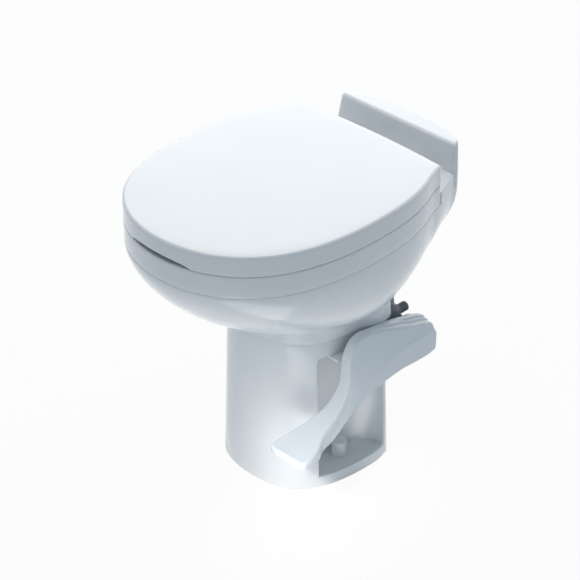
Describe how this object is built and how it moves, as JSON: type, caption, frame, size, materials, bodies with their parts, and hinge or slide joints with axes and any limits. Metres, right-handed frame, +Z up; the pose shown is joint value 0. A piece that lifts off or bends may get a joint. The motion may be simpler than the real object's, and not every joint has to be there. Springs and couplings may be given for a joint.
{
  "type": "rv toilet",
  "caption": "Floor standing gravity flush toilet for a recreational vehicle, with a round seat and lid, a narrow pedestal, a rear housing and a side foot pedal.",
  "frame": {"origin": "on the floor, under the middle of the body's box", "axes": "+Z up, -Y the front of the bowl, +X the side of the foot pedal"},
  "size_m": [0.362, 0.5097, 0.4919],
  "materials": {
    "white_plastic": "glossy white moulded plastic with a faint blue cast",
    "pedal_plastic": "satin to glossy white moulded plastic, slightly cooler",
    "grey_plastic": "matt grey moulded plastic",
    "dark_plastic": "matt dark grey moulded plastic",
    "hose_plastic": "flexible grey hose",
    "black_rubber": "matt black rubber",
    "steel": "zinc plated steel"
  },
  "bodies": {
    "bowl": {"pedestal": "white_plastic", "floor_seal": "black_rubber", "shutter_housing_lower": "grey_plastic", "shutter_housing_upper": "grey_plastic", "clamp_screw_1": "steel", "clamp_screw_2": "steel", "clamp_screw_3": "steel", "clamp_screw_4": "steel", "ball_seal": "black_rubber", "bowl_shell": "white_plastic", "bowl_basin": "white_plastic", "flush_nozzle": "white_plastic", "nozzle_hose": "hose_plastic", "supply_hose": "hose_plastic", "vacuum_breaker": "grey_plastic", "vacuum_breaker_cap": "grey_plastic", "valve_body": "dark_plastic", "valve_spring": "steel", "inlet_nipple": "dark_plastic", "pedal_bracket": "white_plastic", "bracket_screw_1": "steel", "bracket_screw_2": "steel", "shaft_bracket": "white_plastic", "return_spring": "steel", "hinge_post_right": "white_plastic", "hinge_post_left": "white_plastic", "hinge_pin_right": "steel", "hinge_pin_left": "steel", "hinge_bolt_right": "steel", "hinge_bolt_left": "steel", "hinge_nut_right": "steel", "hinge_nut_left": "steel", "closet_bolt_right": "steel", "closet_bolt_left": "steel", "closet_washer_right": "steel", "closet_washer_left": "steel", "closet_nut_right": "steel", "closet_nut_left": "steel"},
    "seat": {"seat_ring": "white_plastic", "seat_bumper_1": "black_rubber", "seat_bumper_2": "black_rubber", "seat_bumper_3": "black_rubber", "seat_bumper_4": "black_rubber"},
    "lid": {"lid": "white_plastic", "lid_bumper_right": "black_rubber", "lid_bumper_left": "black_rubber"},
    "pedal": {"pedal_cover": "pedal_plastic", "gear_sector": "grey_plastic", "sector_screw_1": "steel", "sector_screw_2": "steel", "pivot_shaft": "steel", "valve_cam": "grey_plastic"},
    "shutter": {"shutter_ball": "dark_plastic", "shutter_shaft": "steel", "shutter_stub": "steel", "drive_pinion": "grey_plastic"},
    "plunger": {"valve_plunger": "dark_plastic"},
    "float": {"vacuum_breaker_float": "dark_plastic"},
    "cap_right": {"bolt_cap_right": "white_plastic"},
    "cap_left": {"bolt_cap_left": "white_plastic"}
  },
  "joints": [
    {"name": "seat_hinge", "type": "hinge", "parent": "bowl", "child": "seat", "pos_m": [0, 0.1765, 0.458], "axis": [-1, 0, 0], "range_deg": [0, 95]},
    {"name": "lid_hinge", "type": "hinge", "parent": "seat", "child": "lid", "pos_m": [0, 0.1765, 0.458], "axis": [1, 0, 0], "range_deg": [-100, 0]},
    {"name": "pedal_pivot", "type": "hinge", "parent": "bowl", "child": "pedal", "pos_m": [0.12, 0.1415, 0.198], "axis": [1, 0, 0], "range_deg": [0, 14], "stiffness_Nm_per_rad": 4, "springref_deg": -28.65},
    {"name": "shutter_turn", "type": "hinge", "parent": "bowl", "child": "shutter", "pos_m": [0, 0.0275, 0.21], "axis": [1, 0, 0], "range_deg": [-84, 0]},
    {"name": "plunger_slide", "type": "slide", "parent": "bowl", "child": "plunger", "axis": [0, 1, 0], "range_m": [-0.0054, 0], "deforming": ["valve_spring"]},
    {"name": "float_lift", "type": "slide", "parent": "bowl", "child": "float", "axis": [0, 0, 1], "range_m": [0, 0.018]},
    {"name": "cap_lift_right", "type": "slide", "parent": "bowl", "child": "cap_right", "axis": [0, 0, 1], "range_m": [0, 0.03]},
    {"name": "cap_lift_left", "type": "slide", "parent": "bowl", "child": "cap_left", "axis": [0, 0, 1], "range_m": [0, 0.03]}
  ],
  "couplings": [
    {"joint": "shutter_turn", "follows": "pedal_pivot", "ratio": -6},
    {"joint": "plunger_slide", "follows": "pedal_pivot", "m_per_rad": -0.0218}
  ]
}
